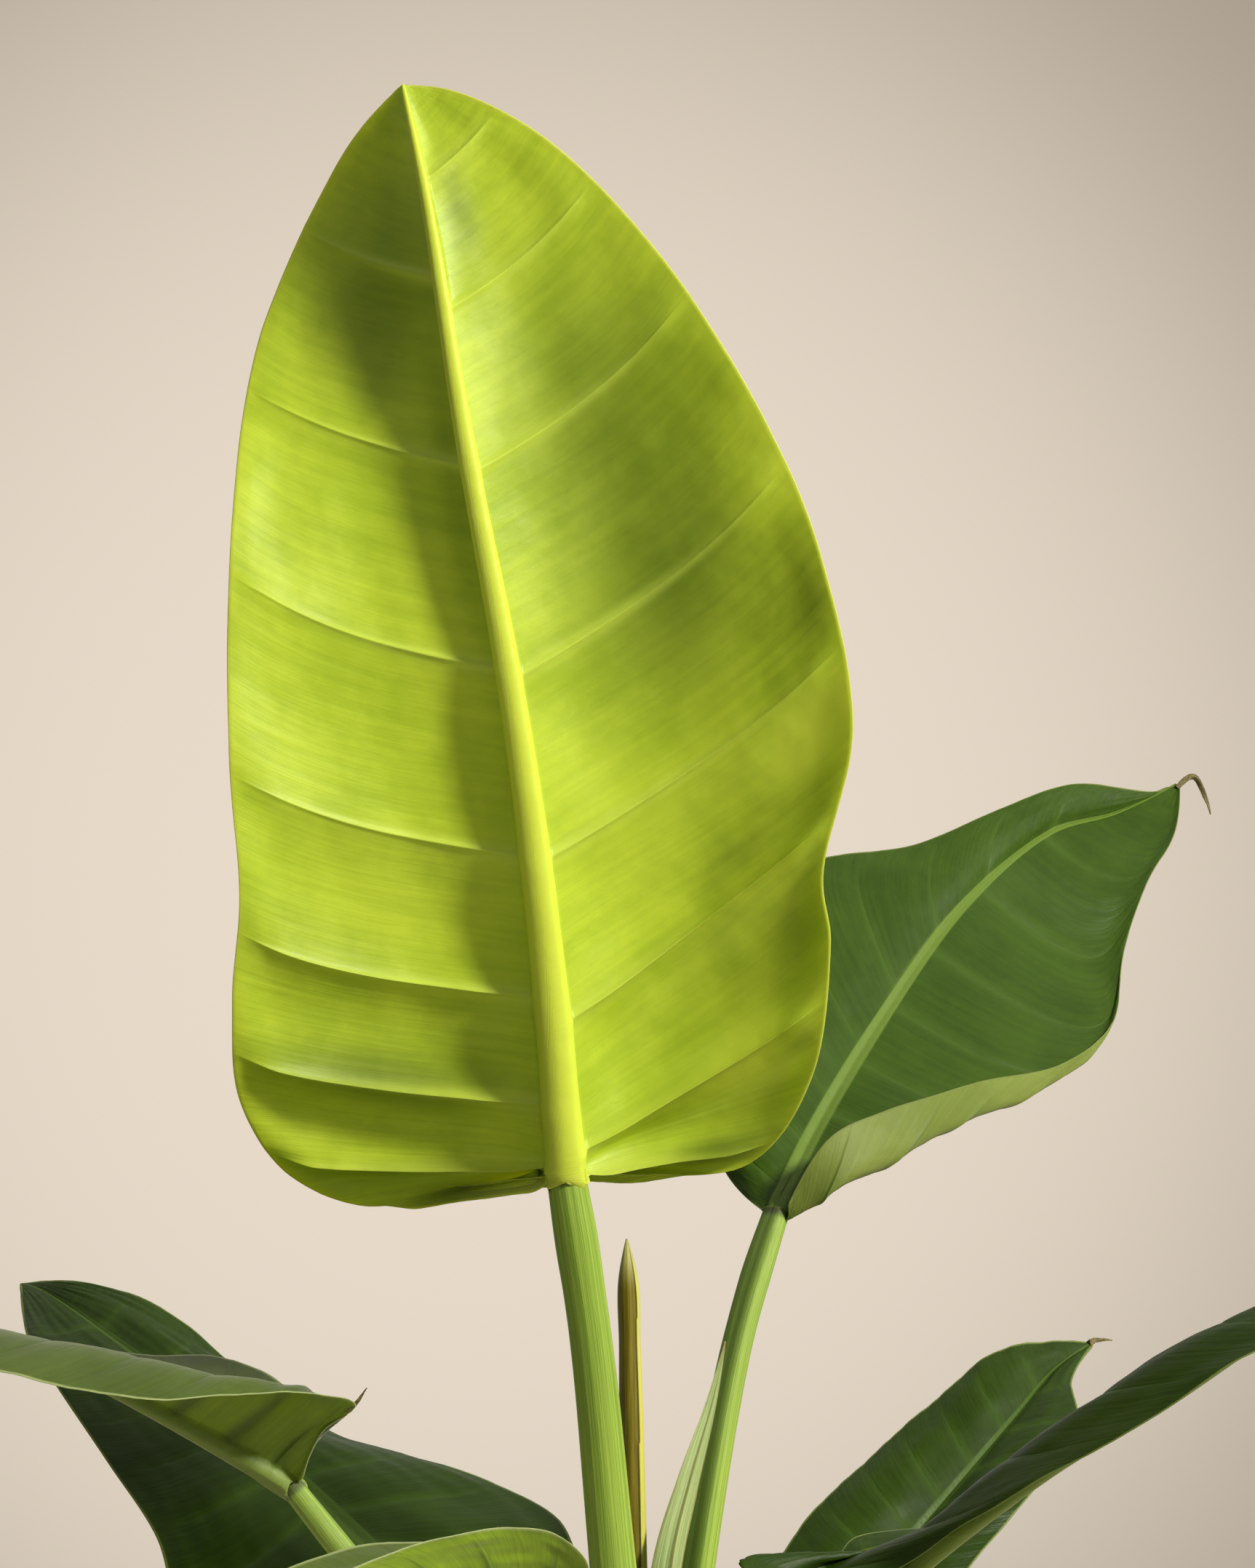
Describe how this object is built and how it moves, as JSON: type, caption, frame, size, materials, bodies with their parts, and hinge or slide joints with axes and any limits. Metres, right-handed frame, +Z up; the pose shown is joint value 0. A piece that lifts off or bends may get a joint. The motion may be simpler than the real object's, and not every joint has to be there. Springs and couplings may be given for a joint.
{
  "type": "potted philodendron",
  "caption": "Self-heading philodendron with broad undivided leaves on grooved petioles, a rolled new leaf and a keeled sheath, in soil in a plain tapered pot.",
  "frame": {"origin": "centre of the pot's underside, on the surface that the pot stands on", "axes": "+Z up; -Y is the front, towards which the young leaf shows its underside; +X to the right"},
  "size_m": [0.4444, 0.4186, 0.5841],
  "materials": {
    "young_leaf": "satin",
    "mature_leaf": "satin",
    "old_leaf": "satin",
    "petiole": "satin",
    "spear": "satin",
    "cataphyll": "matte",
    "stem": "matte",
    "soil": "matte",
    "pot": "matte"
  },
  "bodies": {
    "root": {"blade_top": "young_leaf", "blade_right_rear_high": "mature_leaf", "blade_left": "mature_leaf", "blade_left_rear": "mature_leaf", "blade_left_front": "mature_leaf", "blade_right_rear_low": "mature_leaf", "blade_right": "mature_leaf", "blade_right_front": "old_leaf", "blade_rear": "old_leaf", "petiole_top": "petiole", "petiole_right_rear_high": "petiole", "petiole_left": "petiole", "petiole_left_rear": "petiole", "petiole_left_front": "petiole", "petiole_right_rear_low": "petiole", "petiole_right": "petiole", "petiole_right_front": "petiole", "petiole_rear": "petiole", "spear": "spear", "cataphyll": "cataphyll", "stem": "stem", "soil": "soil", "pot": "pot"}
  },
  "joints": []
}
